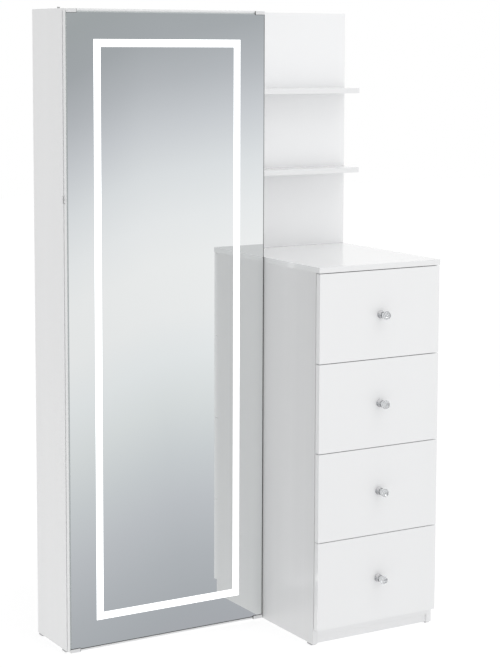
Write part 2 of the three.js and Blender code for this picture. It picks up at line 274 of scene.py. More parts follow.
# %% Floor
FLOOR_REACH = 14.0
FLOOR_GREY = 0.40
FLOOR_GLOW = 0.72
floor_mesh = bpy.data.meshes.new("floor")
floor_mesh.from_pydata(
    [(x * FLOOR_REACH, y * FLOOR_REACH, 0) for x, y in ((-1, -1), (1, -1), (1, 1), (-1, 1))],
    [],
    [(0, 1, 2, 3)],
)
floor = bpy.data.objects.new("floor", floor_mesh)
bpy.context.scene.collection.objects.link(floor)
floor.visible_glossy = False
floor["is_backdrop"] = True
floor_paint = bpy.data.materials.new("floor_paper")
floor_paint.use_nodes = True
floor_shader = floor_paint.node_tree.nodes["Principled BSDF"]
floor_shader.inputs["Base Color"].default_value = (FLOOR_GREY, FLOOR_GREY, FLOOR_GREY, 1)
floor_shader.inputs["Roughness"].default_value = 0.9
floor_shader.inputs["Specular IOR Level"].default_value = 0.0
floor_shader.inputs["Emission Color"].default_value = (1, 1, 1, 1)
floor_shader.inputs["Emission Strength"].default_value = FLOOR_GLOW
floor.data.materials.append(floor_paint)

# %% [markdown]
# ## Surfaces
#
# Each finish starts from the same three layers: a pattern in the piece's own coordinates, so it
# stays put when a drawer slides; a little unevenness in the gloss; and a height that the light
# can catch. What changes from finish to finish is the pattern and its scale.

# %% Helpers for surfaces
def surface(name, roughness, metallic=0.0, **constants):
    """A material with a Principled shader whose fixed values are set straight on its sockets."""
    material = bpy.data.materials.new(name)
    material.use_nodes = True
    tree = material.node_tree
    shader = tree.nodes["Principled BSDF"]
    shader.inputs["Roughness"].default_value = roughness
    shader.inputs["Metallic"].default_value = metallic
    for key, value in constants.items():
        shader.inputs[key.replace("_", " ")].default_value = value
    return material, tree, shader


def pattern(tree, scale, detail=4.0, roughness=0.55, distortion=0.0):
    """Noise in the piece's own coordinates. scale is (x, y, z), in cells per metre."""
    place = wire(tree, "ShaderNodeTexCoord").outputs["Object"]
    stretched = wire(tree, "ShaderNodeMapping", {"Vector": place, "Scale": scale}).outputs["Vector"]
    return wire(tree, "ShaderNodeTexNoise", {
        "Vector": stretched, "Scale": 1.0, "Detail": detail,
        "Roughness": roughness, "Distortion": distortion,
    }).outputs["Fac"]


def spread(tree, factor, low, high):
    """Noise sits near a half: this stretches it over the range from low to high."""
    return wire(tree, "ShaderNodeMapRange", {
        "Value": factor, "From Min": 0.3, "From Max": 0.7, "To Min": low, "To Max": high,
    }).outputs["Result"]


def tint(tree, factor, dark, light):
    return ramp(tree, factor, [(0.32, dark), (0.68, light)])


def emboss(tree, shader, height, distance, strength=1.0):
    bump = wire(tree, "ShaderNodeBump", {"Height": height, "Distance": distance, "Strength": strength})
    tree.links.new(bump.outputs["Normal"], shader.inputs["Normal"])


# %% [markdown]
# ### Gloss laminate
#
# The boards are particle board under a white gloss film printed with a very pale upright grain.
# On the real board the grain shows as soft upright bands a few centimetres wide, with hair-fine
# streaks inside them. Two stretched noises give both. A clear coat over the colour gives the wet
# look of the lacquer. Lying boards get the same film turned through a right angle. Each board's
# white is set a little apart as painted light and shade: the lying boards a shade darker, the drawer
# fronts and the display back lighter, and the chest's left side, beside the mirror cabinet, darker
# still, with a thin, blurred coat that shows no picture of the light.

# %% Gloss laminate
BAND_SHARE, HAIR_SHARE = 0.88, 0.12
SHINE_LOW, SHINE_HIGH = 0.275, 0.295
HAIR_HEIGHT = 0.00001


def laminate(name, along, white=0.90, streak=0.02, gloss=0.9, blur=0.04):
    material, tree, shader = surface(name, 0.30, Coat_Weight=gloss, Coat_Roughness=blur, IOR=1.5)
    wide = {"x": (0.35, 15.0, 15.0), "y": (15.0, 0.35, 15.0), "z": (15.0, 15.0, 0.35)}[along]
    fine = {"x": (1.6, 190.0, 190.0), "y": (190.0, 1.6, 190.0), "z": (190.0, 190.0, 1.6)}[along]
    bands = pattern(tree, wide, detail=3.0, distortion=0.4)
    hairs = pattern(tree, fine, detail=2.0)
    both = maths(tree, "ADD", maths(tree, "MULTIPLY", bands, BAND_SHARE),
                 maths(tree, "MULTIPLY", hairs, HAIR_SHARE))
    light = (white, white * 1.004, white * 1.010)
    dark = tuple(channel * (1 - streak) for channel in light)
    tree.links.new(tint(tree, both, dark, light), shader.inputs["Base Color"])
    tree.links.new(spread(tree, bands, SHINE_LOW, SHINE_HIGH), shader.inputs["Roughness"])
    emboss(tree, shader, hairs, HAIR_HEIGHT, 0.5)
    return material


upright_laminate = laminate("upright_gloss_laminate", "z", white=0.90)
# Lying boards: the grain turned across, and a slightly darker white, painted shade on the tops.
lying_shade_painted_laminate = laminate("lying_gloss_laminate_painted_shade", "x", white=0.885, streak=0.012)
# Drawer fronts: a slightly lighter white, painted light.
front_light_painted_laminate = laminate("drawer_front_laminate_painted_light", "z", white=0.905, streak=0.006)
# Chest's left side: a darker white with a thin, blurred coat, painted shade from the mirror cabinet beside
# it.
shade_painted_laminate = laminate("chest_side_laminate_painted_shade", "z", white=0.82, streak=0.035, gloss=0.15, blur=0.3)
# Display back: a lighter white, painted light.
display_light_painted_laminate = laminate("display_back_laminate_painted_light", "z", white=0.96, streak=0.006)

# %% [markdown]
# ### Backs and drawer boxes
#
# Nobody pays for gloss where it isn't seen. The thin backs are hardboard with a painted face, a
# little mottled from the pressed fibres. The drawer boxes wear a matt foil with a linen print,
# which is two sets of fine crossing threads.

# %% Painted hardboard and linen foil
def hardboard():
    material, tree, shader = surface("painted_hardboard", 0.5, IOR=1.48)
    fibres = pattern(tree, (260.0, 260.0, 260.0), detail=6.0, roughness=0.7)
    clouds = pattern(tree, (5.0, 5.0, 5.0), detail=2.0)
    both = maths(tree, "ADD", maths(tree, "MULTIPLY", fibres, 0.5), maths(tree, "MULTIPLY", clouds, 0.5))
    tree.links.new(tint(tree, both, (0.80, 0.80, 0.80), (0.87, 0.87, 0.875)), shader.inputs["Base Color"])
    tree.links.new(spread(tree, clouds, 0.42, 0.6), shader.inputs["Roughness"])
    emboss(tree, shader, fibres, 0.00012)
    return material


def linen_foil():
    material, tree, shader = surface("linen_foil", 0.55, IOR=1.46)
    warp = pattern(tree, (60.0, 60.0, 1100.0), detail=1.0)
    weft = pattern(tree, (1100.0, 1100.0, 60.0), detail=1.0)
    threads = maths(tree, "ADD", maths(tree, "MULTIPLY", warp, 0.5), maths(tree, "MULTIPLY", weft, 0.5))
    tree.links.new(tint(tree, threads, (0.78, 0.78, 0.785), (0.85, 0.855, 0.86)), shader.inputs["Base Color"])
    tree.links.new(spread(tree, threads, 0.48, 0.62), shader.inputs["Roughness"])
    emboss(tree, shader, threads, 0.00006)
    return material


painted_hardboard = hardboard()
drawer_foil = linen_foil()

# %% [markdown]
# ### Metals
#
# Three metals are used: satin nickel on clips, hinges and latch, bright zinc on the runners, and
# chrome on the knobs. Satin metal is a mirror with fine lines drawn across it, so its noise
# is stretched hard along one axis and drives both the roughness and a very small bump. Chrome is
# almost clean: only faint wipe marks break its gloss. The clips' nickel is pearled: fine beads
# are blasted on it before plating, so that half of its light is scattered.

# %% Metals
def metal(name, dark, light, rough_low, rough_high, lines, bump_depth, metallic=1.0):
    material, tree, shader = surface(name, rough_high, metallic)
    brushed = pattern(tree, lines, detail=3.0)
    blooms = pattern(tree, (34.0, 34.0, 34.0), detail=3.0)
    tree.links.new(tint(tree, blooms, dark, light), shader.inputs["Base Color"])
    tree.links.new(spread(tree, brushed, rough_low, rough_high), shader.inputs["Roughness"])
    emboss(tree, shader, brushed, bump_depth)
    return material


satin_nickel = metal("satin_nickel", (0.70, 0.70, 0.70), (0.78, 0.78, 0.785), 0.24, 0.38,
                     (40.0, 900.0, 900.0), 0.00002)
bright_zinc = metal("bright_zinc", (0.56, 0.57, 0.58), (0.68, 0.69, 0.70), 0.28, 0.46,
                    (500.0, 20.0, 500.0), 0.00003)
chrome = metal("chrome", (0.62, 0.625, 0.63), (0.70, 0.70, 0.71), 0.04, 0.11,
               (300.0, 300.0, 300.0), 0.000005)
clip_nickel = metal("clip_nickel", (0.84, 0.84, 0.84), (0.90, 0.90, 0.90), 0.30, 0.42,
                    (900.0, 40.0, 900.0), 0.00001, 0.4)

# %% [markdown]
# ### Plastics and rubber
#
# Moulded plastic copies the spark-eroded skin of its mould: a fine even pebble. The same recipe
# serves the white lighting box, the grey glides, the dark cap and the black rubber pads under the
# clips, with a finer or coarser pebble and more or less gloss. The rubber strip that shows beside
# each clip is painted shade.

# %% Plastics and rubber
def moulded(name, colour, roughness, pebble=900.0, depth=0.00003):
    material, tree, shader = surface(name, roughness, IOR=1.47)
    pebbles = pattern(tree, (pebble, pebble, pebble), detail=2.0)
    patches = pattern(tree, (22.0, 22.0, 22.0), detail=2.0)
    dark = tuple(channel * 0.93 for channel in colour)
    tree.links.new(tint(tree, patches, dark, colour), shader.inputs["Base Color"])
    tree.links.new(spread(tree, pebbles, roughness - 0.06, roughness + 0.06), shader.inputs["Roughness"])
    emboss(tree, shader, pebbles, depth)
    return material


white_plastic = moulded("white_plastic", (0.82, 0.82, 0.82), 0.42)
grey_plastic = moulded("grey_plastic", (0.50, 0.50, 0.51), 0.45)
dark_plastic = moulded("dark_plastic", (0.035, 0.036, 0.038), 0.40)
# Black rubber for the clip pads; the strip of it that shows beside each clip is painted shade.
black_rubber_and_painted_shade = moulded("black_rubber_and_painted_shade", (0.012, 0.012, 0.013), 0.75, 1500.0, 0.00005)

# %% [markdown]
# ### Mirror, glass edge and light
#
# A mirror is float glass with silver behind it. Seen whole, it is a metal with almost no
# roughness, tinted very slightly by the glass it is seen through, with a trace of haze. Its ground
# edge is another thing: light runs along inside the glass and half of it comes out, so it looks
# grey, a little green. The frosted band is where the silver was etched away in front of the lamps: it
# scatters their light evenly, so it can simply glow.

# %% Mirror, glass edge and light
def silvered():
    material, tree, shader = surface("silvered_glass", 0.02, 1.0)
    haze = pattern(tree, (3.0, 3.0, 1.2), detail=5.0, roughness=0.6)
    silver = tint(tree, haze, (0.908, 0.920, 0.916), (0.922, 0.932, 0.928))
    tree.links.new(silver, shader.inputs["Base Color"])
    tree.links.new(spread(tree, haze, 0.008, 0.03), shader.inputs["Roughness"])
    return material


def ground_edge(name, dark, light, metallic):
    material, tree, shader = surface(name, 0.25, metallic, IOR=1.52)
    grind = pattern(tree, (700.0, 700.0, 700.0), detail=2.0)
    tree.links.new(tint(tree, grind, dark, light), shader.inputs["Base Color"])
    tree.links.new(spread(tree, grind, 0.18, 0.34), shader.inputs["Roughness"])
    emboss(tree, shader, grind, 0.00002)
    return material


def glowing(name, strength, grain):
    material, tree, shader = surface(name, 0.6, Emission_Strength=strength)
    frost = pattern(tree, (grain, grain, grain), detail=3.0)
    tree.links.new(tint(tree, frost, (0.93, 0.97, 1.0), (1.0, 1.0, 1.0)), shader.inputs["Emission Color"])
    tree.links.new(tint(tree, frost, (0.80, 0.80, 0.80), (0.9, 0.9, 0.9)), shader.inputs["Base Color"])
    tree.links.new(spread(tree, frost, 0.5, 0.7), shader.inputs["Roughness"])
    emboss(tree, shader, frost, 0.00003)
    return material


mirror_silver = silvered()
glass_edge = ground_edge("ground_glass_edge", (0.46, 0.49, 0.49), (0.58, 0.61, 0.61), 0.6)
# Near-black edge for the lower and right edges of the pane: painted shade.
shade_painted_edge = ground_edge("glass_edge_painted_shade", (0.05, 0.055, 0.055), (0.08, 0.085, 0.085), 0.0)
frosted_light = glowing("frosted_light", 1.05, 1400.0)
opal_light = glowing("opal_diffuser", 1.3, 500.0)

# %% [markdown]
# ### Cut crystal
#
# Crystal is clear glass with a high index of refraction. It has almost no colour of its own:
# everything in it is bent and thrown about by the facets, so the shape does most of the work.
# A trace of unevenness in the polish keeps the facets from looking computed.

# %% Cut crystal
def cut_crystal():
    material, tree, shader = surface("cut_crystal", 0.0, Transmission_Weight=0.72, IOR=1.54)
    polish = pattern(tree, (240.0, 240.0, 240.0), detail=2.0)
    tree.links.new(tint(tree, polish, (0.90, 0.915, 0.93), (0.95, 0.96, 0.97)), shader.inputs["Base Color"])
    tree.links.new(spread(tree, polish, 0.0, 0.02), shader.inputs["Roughness"])
    return material


crystal = cut_crystal()
print("made", len(bpy.data.materials), "finishes")

# %% [markdown]
# ## Soften the joiner's boards
#
# No sawn board has a knife edge: the edge banding is rolled on and its corners are scraped to
# a small round. The joiner's nodes keep their own shape, so a bevel modifier adds that round
# without touching them. A weld comes first, because the imported faces don't share corners
# and a bevel can only round an edge that two faces share.

# %% Edge rounding and finishes for the carried-over nodes
EDGE_ROUND = {
    "white_board": 0.45 * MM,
    "back_board": 0.4 * MM,
    "drawer_board": 0.8 * MM,
    "satin_steel": 0.4 * MM,
    "runner_steel": 0.35 * MM,
    "white_plastic": 1.6 * MM,
    "dark_plastic": 0.8 * MM,
    "lit_band": 0.5 * MM,
    "mirror_silver": 0.5 * MM,
    "knob_chrome": 0.3 * MM,
    "knob_crystal": 0.3 * MM,
}
FINISH = {
    "white_board": upright_laminate,
    "back_board": painted_hardboard,
    "drawer_board": drawer_foil,
    "satin_steel": satin_nickel,
    "runner_steel": bright_zinc,
    "white_plastic": white_plastic,
    "dark_plastic": dark_plastic,
    "lit_band": opal_light,
    "mirror_silver": mirror_silver,
    "knob_chrome": chrome,
    "knob_crystal": crystal,
}
FRONT_ROUND = 0.25 * MM
THIN = 30 * MM
SAME_CORNER = 0.00001
SHARP_EDGE = math.radians(40)


def soften(piece, radius):
    weld = piece.modifiers.new("share_corners", "WELD")
    weld.merge_threshold = SAME_CORNER
    bevel = piece.modifiers.new("rounded_edges", "BEVEL")
    bevel.width = radius
    bevel.segments = 3
    bevel.limit_method = "ANGLE"
    bevel.angle_limit = SHARP_EDGE


def wear(piece, finish):
    piece.data.materials.clear()
    piece.data.materials.append(finish)


for name, node in nodes.items():
    slot = slot_of[name]
    soften(node, EDGE_ROUND[slot])
    wear(node, FINISH[slot])

# A board thinner than this from top to bottom is lying down, so its grain runs across.
for name in nodes:
    low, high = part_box(name)
    size = high - low
    if slot_of[name] == "white_board" and size.z < THIN:
        wear(nodes[name], lying_shade_painted_laminate)
    if name.startswith("drawer_") and name.endswith("_front"):
        wear(nodes[name], front_light_painted_laminate)
        nodes[name].modifiers["rounded_edges"].width = FRONT_ROUND
    if name.startswith("mirror_clip_"):
        wear(nodes[name], clip_nickel)
# The chest's left side wears the darker laminate: painted shade.
wear(nodes["chest_left_side"], shade_painted_laminate)
# The display back wears the lighter laminate: painted light.
wear(nodes["display_back"], display_light_painted_laminate)
wear(nodes["top_edge_cap"], grey_plastic)
print("softened", len(nodes), "nodes")

# %% [markdown]
# ## Tools for new pieces
#
# Every piece from here on is drawn as a mesh in code. One helper gives it its finishes and lets
# it ride on a body, and the others draw the shapes that keep coming back: slabs, circles and
# rectangles.

# %% Helpers for new pieces
def finished(name, build, body, finishes, smooth=False):
    """Makes a piece from a bmesh, gives it its finishes, and lets it ride on a body."""
    mesh = bpy.data.meshes.new(name)
    bmesh.ops.recalc_face_normals(build, faces=build.faces)
    build.to_mesh(mesh)
    build.free()
    for finish in finishes:
        mesh.materials.append(finish)
    if smooth:
        mesh.polygons.foreach_set("use_smooth", [True] * len(mesh.polygons))
    piece = bpy.data.objects.new(name, mesh)
    bpy.context.scene.collection.objects.link(piece)
    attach(piece, body)
    return piece


def add_slab(build, outline, low, high, axis="y"):
    """Adds a flat shape given by an outline in the other two axes, from low to high on axis."""
    def corner(a, b, depth):
        return {"x": (depth, a, b), "y": (a, depth, b), "z": (a, b, depth)}[axis]

    near = [build.verts.new(corner(a, b, low)) for a, b in outline]
    far = [build.verts.new(corner(a, b, high)) for a, b in outline]
    build.faces.new(near)
    build.faces.new(list(reversed(far)))
    count = len(outline)
    for i in range(count):
        build.faces.new((near[i], near[(i + 1) % count], far[(i + 1) % count], far[i]))


def circle(centre, radius, sides=24, start=0.0, sweep=2 * math.pi):
    steps = sides if sweep == 2 * math.pi else sides + 1
    return [
        (centre[0] + radius * math.cos(start + sweep * i / sides),
         centre[1] + radius * math.sin(start + sweep * i / sides))
        for i in range(steps)
    ]


def rectangle(low, high):
    return [(low[0], low[1]), (high[0], low[1]), (high[0], high[1]), (low[0], high[1])]


def bevel_all(build, width, segments=2):
    sharp = [edge for edge in build.edges if edge.is_manifold and edge.calc_face_angle(0) > 0.6]
    bmesh.ops.bevel(build, geom=sharp, offset=width, segments=segments, affect="EDGES", profile=0.6)


# %% [markdown]
# ## The mirror pane
#
# The pane is one sheet of glass, and it is modelled as one sheet. Its front is drawn as a grid
# whose lines fall on the edges of the frosted band, so that the band is a set of faces
# of the same sheet and can glow while the rest stays silver. Round the outside the glass is ground
# to a narrow slope, the arris, so that nobody is cut by it. The lower edge and the right edge are
# painted near black: painted shade, standing for the dark gap and shadow along these edges.

# %% Mirror pane
glass_low, glass_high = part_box("mirror_glass")
band_low, band_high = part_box("led_light_band")
BAND_WIDTH = 21 * MM
ARRIS_WIDTH = 3.0 * MM
ARRIS_DEPTH = 1.4 * MM
BAND_FIT = 0.5 * MM


def grid_lines(low, high, band_from, band_to):
    return [
        low + ARRIS_WIDTH,
        band_from - BAND_FIT,
        band_from - BAND_FIT + BAND_WIDTH,
        band_to + BAND_FIT - BAND_WIDTH,
        band_to + BAND_FIT,
        high - ARRIS_WIDTH,
    ]


columns = grid_lines(glass_low.x, glass_high.x, band_low.x, band_high.x)
rows = grid_lines(glass_low.z, glass_high.z, band_low.z, band_high.z)
pane = bmesh.new()
front = [[pane.verts.new((x, glass_low.y, z)) for x in columns] for z in rows]
LAST = len(columns) - 1
for i in range(LAST):
    for j in range(LAST):
        face = pane.faces.new((front[j][i], front[j][i + 1], front[j + 1][i + 1], front[j + 1][i]))
        inside = 1 <= i <= 3 and 1 <= j <= 3
        face.material_index = 1 if inside and not (i == 2 and j == 2) else 0

GROUND, PAINTED_SHADE_EDGE, BACKING = 2, 3, 4
BOTTOM_EDGE, RIGHT_EDGE = 0, 1
corners = [(glass_low.x, glass_low.z), (glass_high.x, glass_low.z),
           (glass_high.x, glass_high.z), (glass_low.x, glass_high.z)]
rim = [pane.verts.new((x, glass_low.y + ARRIS_DEPTH, z)) for x, z in corners]
back = [pane.verts.new((x, glass_high.y, z)) for x, z in corners]
borders = [front[0], [row[-1] for row in front], front[-1][::-1], [row[0] for row in front][::-1]]
for i in range(4):
    following = (i + 1) % 4
    slope = pane.faces.new([rim[i], rim[following], *reversed(borders[i])])
    edge = pane.faces.new((rim[i], back[i], back[following], rim[following]))
    # The lower and right edges take the near-black, painted-shade edge.
    slope.material_index = edge.material_index = PAINTED_SHADE_EDGE if i in (BOTTOM_EDGE, RIGHT_EDGE) else GROUND
pane.faces.new(back).material_index = BACKING
mirror_pane = finished("mirror_pane", pane, "mirror_door",
                       [mirror_silver, frosted_light, glass_edge, shade_painted_edge, grey_plastic])
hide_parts("mirror_glass")
print("band leaves", round((columns[1] - glass_low.x) / MM), "mm of mirror outside it")

# %% [markdown]
# ## Pads under the corner clips
#
# Four satin clips hold the pane at its corners. Metal must not touch glass, so each clip sits on
# a black rubber pad. The pads are L-shaped strips that reach out past the clips' two inner sides
# as a dark line: that line is painted shade, standing for the shadowed gap between clip and glass.

# %% Clip pads
# How far the pad shows past each clip: this dark strip is painted shade.
SHADE_LINE_WIDTH = 0.9 * MM
PAD_THICKNESS = 1.4 * MM
for end in ("bottom", "top"):
    for side in ("left", "right"):
        low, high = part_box(f"mirror_clip_{end}_{side}")
        inner_x, outer_x = (high.x, low.x) if side == "left" else (low.x, high.x)
        inner_z, outer_z = (high.z, low.z) if end == "bottom" else (low.z, high.z)
        step_x = SHADE_LINE_WIDTH if side == "left" else -SHADE_LINE_WIDTH
        step_z = SHADE_LINE_WIDTH if end == "bottom" else -SHADE_LINE_WIDTH
        outline = [
            (outer_x, inner_z),
            (inner_x, inner_z),
            (inner_x, outer_z),
            (inner_x + step_x, outer_z),
            (inner_x + step_x, inner_z + step_z),
            (outer_x, inner_z + step_z),
        ]
        pad = bmesh.new()
        add_slab(pad, outline, glass_low.y - PAD_THICKNESS, glass_low.y)
        finished(f"clip_pad_{end}_{side}", pad, "mirror_door", [black_rubber_and_painted_shade])

# %% [markdown]
# ## Knobs
#
# A crystal knob is two pieces: a turned chrome base with a dished cup, and a cut stone glued
# into it. The base is a profile spun round its axis, as it would be on a lathe. The stone is cut
# like a gem: a flat table in front, a crown of facets out to the widest ring, the girdle, and
# a pavilion of facets back to the cup. Each ring is turned half a step from the last, so that
# the facets between them are triangles.

# %% Helpers for turned and cut pieces
def turn(build, profile, centre, sides=40):
    """Spins a profile of (radius, y) points round the axis along Y through centre."""
    rings = []
    for radius, y in profile:
        if radius < 1e-6:
            rings.append([build.verts.new((centre[0], y, centre[1]))])
            continue
        rings.append([build.verts.new((a, y, b)) for a, b in circle(centre, radius, sides)])
    for first, second in zip(rings, rings[1:]):
        for i in range(sides):
            quad = [first[i % len(first)], first[(i + 1) % len(first)],
                    second[(i + 1) % len(second)], second[i % len(second)]]
            build.faces.new(list(dict.fromkeys(quad)))


def rounded(points, centre, radius, start, end, steps=6):
    """Adds an arc in the profile plane, so that turned shoulders are round."""
    for i in range(steps + 1):
        angle = math.radians(start + (end - start) * i / steps)
        points.append((centre[0] + radius * math.cos(angle), centre[1] + radius * math.sin(angle)))


def cut_stone(build, centre, girdle_radius, rings, sides=12):
    """rings are (radius, y) from the table to the foot. Each is half a step round from the last."""
    loops = []
    for step, (radius, y) in enumerate(rings):
        turned = math.pi / sides * (step % 2)
        ring = circle(centre, girdle_radius * radius, sides, turned)
        loops.append([build.verts.new((a, y, b)) for a, b in ring])
    build.faces.new(loops[0])
    build.faces.new(list(reversed(loops[-1])))
    for step, (first, second) in enumerate(zip(loops, loops[1:])):
        ahead = step % 2
        for i in range(sides):
            j = (i + 1) % sides
            if ahead == 0:
                build.faces.new((first[i], first[j], second[i]))
                build.faces.new((second[i], first[j], second[j]))
            else:
                build.faces.new((first[i], second[j], second[i]))
                build.faces.new((first[i], first[j], second[j]))


# %% Knobs
# The waist and the cup are (radius, distance out from the drawer front), in millimetres. The
# stone's rings are (share of the girdle, share of the depth), from the table back to the cup.
FLANGE_FLAT, FLANGE_MIDDLE, FLANGE_BULGE = 11.2 * MM, 10.7 * MM, 1.3 * MM
WAIST_AND_CUP = [(8.4, 3.0), (6.6, 4.4), (5.9, 6.0), (6.4, 7.8), (8.2, 9.8), (10.0, 11.2),
                 (10.5, 12.2), (10.5, 13.2)]
STONE_RINGS = [(0.80, 0.11), (1.00, 0.32), (1.00, 0.42), (0.82, 0.72)]
TABLE_SHARE, FOOT_SHARE = 0.56, 0.50
for number in range(1, 5):
    base_low, base_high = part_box(f"drawer_{number}_knob_base")
    head_low, head_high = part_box(f"drawer_{number}_knob_crystal")
    centre = ((base_low.x + base_high.x) / 2, (base_low.z + base_high.z) / 2)
    face, seat = base_high.y, base_low.y

    profile = [(0, face), (FLANGE_FLAT, face)]
    rounded(profile, (FLANGE_MIDDLE, face - FLANGE_BULGE), FLANGE_BULGE, 60, -60)
    profile += [(radius * MM, face - out * MM) for radius, out in WAIST_AND_CUP]
    profile += [(10.2 * MM, seat + 0.1 * MM), (9.6 * MM, seat), (9.0 * MM, seat + 0.5 * MM),
                (0, seat + 0.9 * MM)]
    base = bmesh.new()
    turn(base, profile, centre)
    knob_base = finished(f"drawer_{number}_chrome_base", base, f"drawer_{number}", [chrome],
                         smooth=True)
    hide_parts(f"drawer_{number}_knob_base")

    depth = head_high.y - head_low.y
    girdle = (head_high.x - head_low.x) / 2
    stone = bmesh.new()
    rings = [(share, head_low.y + back * depth) for share, back in STONE_RINGS]
    cut_stone(stone, centre, girdle,
              [(TABLE_SHARE, head_low.y), *rings, (FOOT_SHARE, head_high.y)])
    knob_stone = finished(f"drawer_{number}_cut_crystal", stone, f"drawer_{number}", [crystal])
    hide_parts(f"drawer_{number}_knob_crystal")
print("cut 4 stones of", round(2 * girdle / MM), "mm")

# %% [markdown]
# ## Latch
#
# In the seam at the free edge of the door sits a small latch: half a dumbbell let into the side
# panel, and its other half let into the door. Closed, the two halves meet across the seam. Each
# half is two round lobes joined by a neck, cut straight along the seam.

# %% Latch halves
LOBE_RADIUS = 5.2 * MM
LOBE_RISE = 5.4 * MM
NECK_DEPTH = 2.4 * MM
STEPS = 28


def half_dumbbell(seam, outward, middle):
    """An outline in the side view: straight on the seam, lobed on the other side."""
    reach = LOBE_RISE + LOBE_RADIUS
    outline = []
    for i in range(STEPS + 1):
        z = -reach + 2 * reach * i / STEPS
        from_lobe = abs(abs(z) - LOBE_RISE)
        lobe = math.sqrt(max(LOBE_RADIUS ** 2 - from_lobe ** 2, 0))
        depth = max(lobe, NECK_DEPTH if abs(z) < LOBE_RISE else 0.3 * MM)
        outline.append((seam + outward * depth, middle + z))
    return [(seam, middle - reach), *outline, (seam, middle + reach)]


for name, node_name, body in (("latch_half", "latch_plate", "cabinet"),
                              ("strike_half", "door_strike", "mirror_door")):
    low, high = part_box(node_name)
    on_door = body == "mirror_door"
    seam, outward = (high.y, -1) if on_door else (low.y, 1)
    half = bmesh.new()
    add_slab(half, half_dumbbell(seam, outward, (low.z + high.z) / 2), low.x, high.x, axis="x")
    piece = finished(name, half, body, [satin_nickel])
    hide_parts(node_name)

# %% [markdown]
# ## Hinge hardware
#
# Each concealed hinge has more to it than its cup: ears that take two screws beside the cup, a
# short link that reaches out to the arm, and screws through the mounting plate. They are small,
# so one piece per hinge holds what moves with the door and one holds what stays.

# %% Hinge ears, links and screws
def add_screw(build, centre, low, high, axis, radius=3.4 * MM):
    """A pan head with a straight slot pressed into it, drawn as two half heads with a gap."""
    gap = 0.45 * MM
    half_angle = math.asin(gap / radius)
    for start in (half_angle, math.pi + half_angle):
        outline = circle(centre, radius, 12, start, math.pi - 2 * half_angle)
        add_slab(build, outline, low, high, axis)
    add_slab(build, circle(centre, radius * 0.97, 24), low, low + (high - low) * 0.45, axis)


EAR_START, EAR_REACH = 15.9 * MM, 26 * MM
EAR_HALF = 6.5 * MM
EAR_SCREW_INSET = 4.5 * MM
LINK_HALF = 5 * MM
PLATE_SCREW_APART = 17 * MM
for number in range(1, 5):
    cup_low, cup_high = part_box(f"hinge_cup_{number}")
    arm_low, arm_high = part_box(f"hinge_arm_{number}")
    cup_x, cup_z = (cup_low.x + cup_high.x) / 2, (cup_low.z + cup_high.z) / 2
    rim_y = cup_high.y
    ears = bmesh.new()
    for sign in (-1, 1):
        near, far = cup_z + sign * EAR_START, cup_z + sign * EAR_REACH
        add_slab(ears, rectangle((cup_x - EAR_HALF, min(near, far)), (cup_x + EAR_HALF, max(near, far))),
                 rim_y - 1.1 * MM, rim_y + 0.1 * MM)
    bevel_all(ears, 0.3 * MM)
    for sign in (-1, 1):
        add_screw(ears, (cup_x, cup_z + sign * (EAR_REACH - EAR_SCREW_INSET)),
                  rim_y + 0.1 * MM, rim_y + 1.3 * MM, "y")
    link = [(cup_x - LINK_HALF, cup_z - LINK_HALF), (cup_x + LINK_HALF, cup_z + LINK_HALF)]
    add_slab(ears, rectangle(*link), rim_y - 8.5 * MM, rim_y + 3.2 * MM)
    finished(f"hinge_ears_{number}", ears, "mirror_door", [satin_nickel])

    screws = bmesh.new()
    for sign in (-1, 1):
        add_screw(screws, ((arm_low.y + arm_high.y) / 2 + 4 * MM, cup_z + sign * PLATE_SCREW_APART),
                  arm_high.x - 3.4 * MM, arm_high.x - 1.9 * MM, "x")
    add_screw(screws, (arm_low.y + 22 * MM, cup_z), arm_low.x - 1.0 * MM, arm_low.x + 0.1 * MM,
              "x", 4.2 * MM)
    finished(f"hinge_screws_{number}", screws, "cabinet", [satin_nickel])

# %% [markdown]
# ## Drawer slides
#
# The joiner's runner is the channel on the chest. Its partner is a rail screwed to the drawer,
# which nests inside the channel and comes out with the drawer. It is a folded strip: a web flat
# against the drawer side and two lips that turn back into the channel.

# %% Drawer rails
RAIL_HALF = 17 * MM
RAIL_SHEET = 1.4 * MM
RAIL_DEPTH = 7.0 * MM
RAIL_FRONT, RAIL_BACK = 6 * MM, 18 * MM
RIVET_RADIUS, RIVET_RISE = 3.6 * MM, 1.2 * MM
for number in range(1, 5):
    box_low, box_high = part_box(f"drawer_{number}_box")
    for side in ("left", "right"):
        run_low, run_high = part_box(f"drawer_{number}_runner_{side}")
        z = (run_low.z + run_high.z) / 2
        wall, inward = (box_low.x, -1) if side == "left" else (box_high.x, 1)
        outline = [
            (wall, z - RAIL_HALF),
            (wall + inward * RAIL_DEPTH, z - RAIL_HALF),
            (wall + inward * RAIL_DEPTH, z - RAIL_HALF + RAIL_SHEET),
            (wall + inward * RAIL_SHEET, z - RAIL_HALF + RAIL_SHEET),
            (wall + inward * RAIL_SHEET, z + RAIL_HALF - RAIL_SHEET),
            (wall + inward * RAIL_DEPTH, z + RAIL_HALF - RAIL_SHEET),
            (wall + inward * RAIL_DEPTH, z + RAIL_HALF),
            (wall, z + RAIL_HALF),
        ]
        rail = bmesh.new()
        add_slab(rail, outline, run_low.y + RAIL_FRONT, run_high.y - RAIL_BACK)
        for along in (0.15, 0.5, 0.85):
            y = run_low.y + (run_high.y - run_low.y) * along
            near, far = sorted((wall + inward * RAIL_SHEET, wall + inward * (RAIL_SHEET + RIVET_RISE)))
            add_slab(rail, circle((y, z), RIVET_RADIUS, 16), near, far, "x")
        finished(f"drawer_{number}_rail_{side}", rail, f"drawer_{number}", [bright_zinc])

